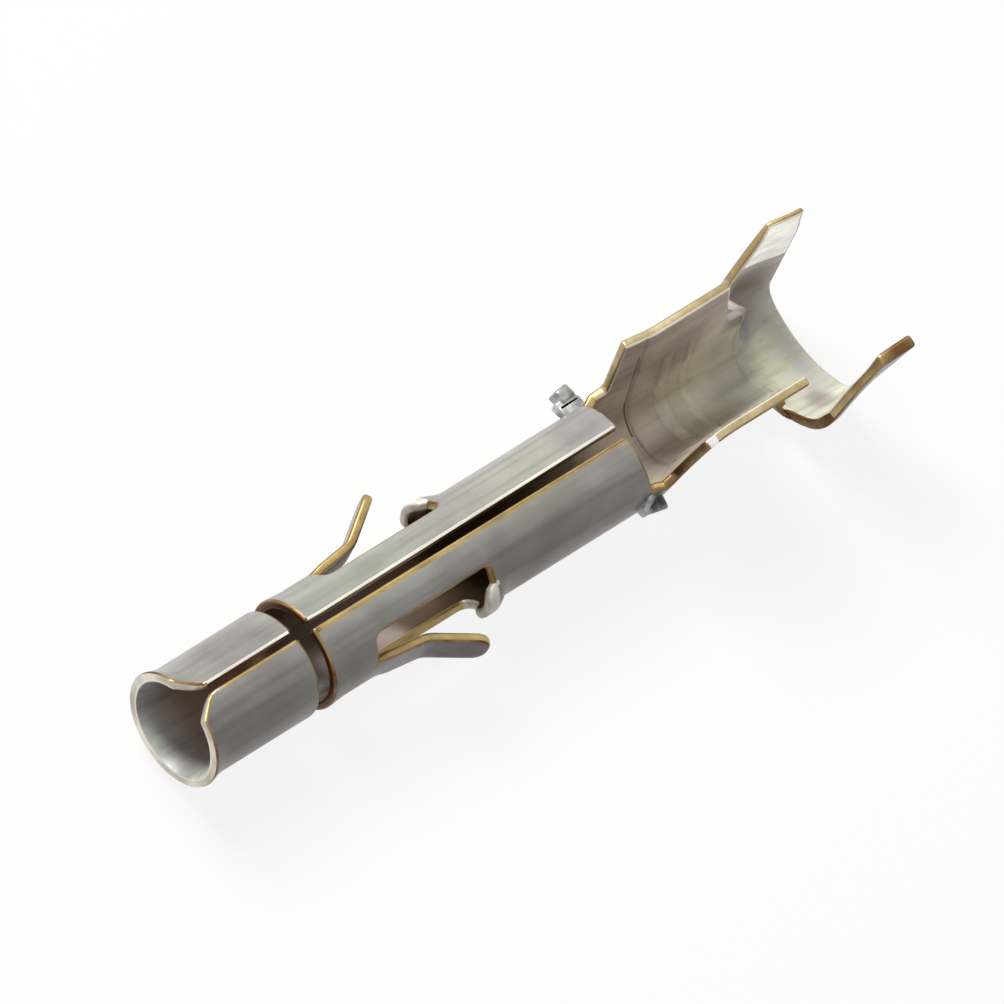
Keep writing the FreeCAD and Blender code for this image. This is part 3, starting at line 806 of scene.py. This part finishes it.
def edge_material(name, stops, dark, amount, roughness):
    """Bare cut brass with colour stops along the terminal; its pale stops towards the mouth
    and along the wings are partly smeared tin and partly painted highlight.
    """
    nodes = Nodes(bpy.data.materials.new(name))
    place = nodes.add("ShaderNodeTexCoord").outputs["Object"]
    tone = along(nodes, place, stops)
    patches = nodes.add("ShaderNodeTexNoise", {
        "Vector": place, "Scale": 900.0, "Detail": 4.0, "Roughness": 0.6})
    worn = nodes.add("ShaderNodeMapRange", {
        "Value": patches.outputs["Fac"], "From Min": 0.62, "From Max": 0.40,
        "To Min": 0.0, "To Max": amount})
    base = blend(nodes, worn.outputs["Result"], tone, (*dark, 1))
    grain = nodes.add("ShaderNodeTexNoise", {"Vector": place, "Scale": 9000.0, "Detail": 2.0})
    bump = nodes.add("ShaderNodeBump", {
        "Height": grain.outputs["Fac"], "Strength": 0.2, "Distance": 0.00001})
    shader = nodes.add("ShaderNodeBsdfPrincipled", {
        "Base Color": base, "Roughness": roughness, "Metallic": 0.7,
        "Normal": bump.outputs["Normal"]})
    nodes.add("ShaderNodeOutputMaterial", {"Surface": shader.outputs["BSDF"]})


class TERMINAL_OT_finishes(Operator):
    """Make the tin and brass finishes"""
    bl_idname = "terminal.finishes"
    bl_label = "Finishes"

    def execute(self, context):
        finish = context.scene.terminal.finish
        light, dull = tuple(finish.tin), tuple(finish.tin_dull)
        brass, dark = tuple(finish.brass), tuple(finish.brass_dark)
        cream, straw = tuple(finish.cream), tuple(finish.straw)
        tin_material("tin_outside", light, dull, 0.36, 0.15, "outside")
        tin_material("tin_inside", light, dull, 0.40, 0.15, "inside")
        # Cut brass along the terminal: the dark band from 3.9 to 4.35 mm is painted shade in
        # the slot; the cream at the mouth and straw on the wings are partly smeared plating
        # and partly painted highlight.
        edge_material("cut_brass", [(0.5, cream), (1.2, brass), (3.6, brass), (3.9, dark),
                                    (4.35, dark), (4.6, brass), (16.0, brass), (17.0, straw),
                                    (23.0, brass)], dark, 0.45, 0.38)
        # Near-white mirror tin: a painted highlight on the far seam's outer rounding, the far
        # insulation wing's inner tip and the near wire wing's front edge.
        tin_material("bright_tin", (1.0, 1.0, 0.93), (0.86, 0.85, 0.78),
                     0.25, 0.95, "edge", 900.0)
        # Pale cream tin, a painted highlight on the bulging rear lips behind the windows.
        tin_material("lip_tin", (1.0, 0.98, 0.86), (0.92, 0.89, 0.74),
                     0.50, 0.30, "edge", 900.0)
        tin_material("sheared_tin", (0.74, 0.76, 0.75), (0.10, 0.10, 0.12),
                     0.25, 0.5, "edge", 1800.0)
        edge_material("outer_edge", [(1.0, dark), (22.0, dark)], brass, 0.5, 0.35)
        # Dark brass, a painted shade on edges and faces in shade: the far seam's cut face, the
        # near neck edges, the near shoulder, the first serration and the near insulation
        # wing's tip.
        edge_material("dark_edge", [(1.0, dark), (22.0, dark)], brass, 0.35, 0.42)
        # Inner rounded edges: pale cream at the mouth and on the wings, partly smeared plating
        # and partly painted highlight.
        edge_material("inner_edge", [(1.0, cream), (4.0, brass), (16.0, brass),
                                     (17.0, cream)], brass, 0.3, 0.30)
        return {"FINISHED"}


class TERMINAL_OT_strip(Operator):
    """Stamp the blank and roll it into sleeve, barrel and crimp wings"""
    bl_idname = "terminal.strip"
    bl_label = "Rolled strip"

    def execute(self, context):
        strip = form_strip(Plan())
        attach(strip, "root")
        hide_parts(NODE)
        return {"FINISHED"}


def stub_piece(name, lumps):
    """Rounded lumps of sheared tin, joined into one stub of the carrier strip."""
    made = []
    for centre, size, turn, taper in lumps:
        bpy.ops.mesh.primitive_cube_add(size=1, location=(0, 0, 0))
        lump = bpy.context.active_object
        for corner in lump.data.vertices:
            if corner.co.z > 0:
                corner.co.x *= taper
                corner.co.y *= taper
        lump.scale = [side * MM for side in size]
        lump.rotation_euler = [math.radians(part) for part in turn]
        bpy.ops.object.transform_apply(location=False, rotation=True, scale=True)
        rounding = lump.modifiers.new("round", "BEVEL")
        rounding.width = 0.18 * min(size) * MM
        rounding.segments = 3
        bpy.ops.object.modifier_apply(modifier="round")
        lump.location = [part * MM for part in centre]
        bpy.ops.object.transform_apply(location=True, rotation=False, scale=False)
        made.append(lump)
    for lump in made:
        lump.select_set(True)
    bpy.context.view_layer.objects.active = made[0]
    bpy.ops.object.join()
    stub = bpy.context.active_object
    stub.name = name
    stub.data.materials.append(bpy.data.materials["sheared_tin"])
    bpy.ops.object.shade_smooth_by_angle(angle=math.radians(40))
    return stub


class TERMINAL_OT_stubs(Operator):
    """Leave the sheared stubs of the carrier strip beside the neck"""
    bl_idname = "terminal.stubs"
    bl_label = "Carrier stubs"

    def execute(self, context):
        for name, lumps in (("far_stub", FAR_STUB), ("near_stub", NEAR_STUB)):
            stub = stub_piece(name, lumps)
            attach(stub, "root")
        return {"FINISHED"}


class TERMINAL_OT_stage(Operator):
    """Set the floor, the light and the camera"""
    bl_idname = "terminal.stage"
    bl_label = "Stage"

    def execute(self, context):
        shade = tuple(context.scene.terminal.finish.backdrop)
        set_floor(shade)
        set_light(context.scene, shade)
        set_camera(context.scene)
        return {"FINISHED"}


def seen_white(nodes, shade):
    """How strongly camera, glossy and transmission rays see the plain white."""
    path = nodes.add("ShaderNodeLightPath")
    first = nodes.add("ShaderNodeMath", operation="MAXIMUM")
    nodes.tree.links.new(path.outputs["Is Camera Ray"], first.inputs[0])
    nodes.tree.links.new(path.outputs["Is Glossy Ray"], first.inputs[1])
    second = nodes.add("ShaderNodeMath", operation="MAXIMUM")
    nodes.tree.links.new(first.outputs[0], second.inputs[0])
    nodes.tree.links.new(path.outputs["Is Transmission Ray"], second.inputs[1])
    return second.outputs[0]


def set_floor(shade):
    """Plain white floor that keeps the terminal's soft shadow."""
    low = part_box(NODE)[0][2]
    bpy.ops.object.select_all(action="DESELECT")
    bpy.ops.mesh.primitive_plane_add(size=1.0, location=(0.012, 0, low))
    floor = bpy.context.active_object
    floor.name = "floor"
    bpy.ops.object.transform_apply(location=True, rotation=True, scale=True)
    nodes = Nodes(bpy.data.materials.new("floor_white"))
    seen = seen_white(nodes, shade)
    tint = blend(nodes, seen, PAPER_TINT, (*shade, 1))
    paper = nodes.add("ShaderNodeBsdfDiffuse", {"Color": tint})
    bright = nodes.add("ShaderNodeEmission", {"Color": (*shade, 1), "Strength": 1.0})
    part = nodes.add("ShaderNodeMath", {0: seen, 1: WHITE_SHARE}, operation="MULTIPLY")
    mix = nodes.add("ShaderNodeMixShader", {
        0: part.outputs[0], 1: paper.outputs[0], 2: bright.outputs[0]})
    nodes.add("ShaderNodeOutputMaterial", {"Surface": mix.outputs[0]})
    floor.data.materials.append(bpy.data.materials["floor_white"])


def set_light(scene, shade):
    """Soft light from above and from the far side."""
    world = bpy.data.worlds.new("studio")
    scene.world = world
    world.use_nodes = True
    nodes = Nodes(world)
    seen = seen_white(nodes, shade)
    dim = nodes.add("ShaderNodeBackground", {"Color": DIM_LIGHT, "Strength": DIM_STRENGTH})
    white = nodes.add("ShaderNodeBackground", {"Color": (*shade, 1), "Strength": 1.0})
    mix = nodes.add("ShaderNodeMixShader", {0: seen, 1: dim.outputs[0], 2: white.outputs[0]})
    nodes.add("ShaderNodeOutputWorld", {"Surface": mix.outputs[0]})
    bpy.ops.object.select_all(action="DESELECT")
    bpy.ops.object.light_add(type="AREA", location=LAMP_PLACE)
    lamp = bpy.context.active_object
    lamp.name = "key_light"
    lamp.data.size = LAMP_SIZE
    lamp.data.energy = LAMP_WATTS
    lamp.data.color = LAMP_LIGHT
    aim(lamp, Vector((0.012, 0, 0)))


def aim(thing, target):
    """Turn a lamp towards a point."""
    way = target - thing.location
    thing.rotation_euler = way.to_track_quat("-Z", "Y").to_euler()


def set_camera(scene):
    """Long lens above the mouth end, on the near side."""
    up = CAMERA_BACK.cross(CAMERA_RIGHT)
    view = bpy.data.cameras.new("camera")
    view.lens = SENSOR_WIDTH * CAMERA_DISTANCE / FRAME_WIDTH
    view.clip_start = 0.01
    view.clip_end = 10.0
    camera = bpy.data.objects.new("camera", view)
    scene.collection.objects.link(camera)
    turn = Matrix((CAMERA_RIGHT, up, CAMERA_BACK)).transposed()
    place = CAMERA_CENTRE + CAMERA_BACK * CAMERA_DISTANCE
    camera.matrix_world = Matrix.Translation(place) @ turn.to_4x4()
    scene.camera = camera


class TERMINAL_PT_sidebar(Panel):
    """Sizes, finishes and steps of the terminal"""
    bl_label = "Socket Terminal"
    bl_idname = "TERMINAL_PT_sidebar"
    bl_space_type = "VIEW_3D"
    bl_region_type = "UI"
    bl_category = "Terminal"

    def draw(self, context):
        layout = self.layout
        terminal = context.scene.terminal
        for group in ("strip", "barrel", "window", "crimp", "finish"):
            box = layout.box()
            box.label(text=group.capitalize())
            sizes = getattr(terminal, group)
            for name in sizes.__annotations__:
                box.prop(sizes, name)
        for step in STEPS:
            layout.operator(step.bl_idname)


STEPS = (TERMINAL_OT_finishes, TERMINAL_OT_strip, TERMINAL_OT_stubs, TERMINAL_OT_stage)
CLASSES = (StripSizes, BarrelSizes, WindowSizes, CrimpSizes, Finish, Terminal,
           *STEPS, TERMINAL_PT_sidebar)


def register():
    for item in CLASSES:
        bpy.utils.register_class(item)
    bpy.types.Scene.terminal = PointerProperty(type=Terminal)


def unregister():
    del bpy.types.Scene.terminal
    for item in reversed(CLASSES):
        bpy.utils.unregister_class(item)


def main():
    """Build the terminal and its stage."""
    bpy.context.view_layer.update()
    register()
    bpy.ops.terminal.finishes()
    bpy.ops.terminal.strip()
    bpy.ops.terminal.stubs()
    bpy.ops.terminal.stage()
    bpy.context.scene.view_settings.view_transform = "Standard"


if __name__ == "__main__":
    main()
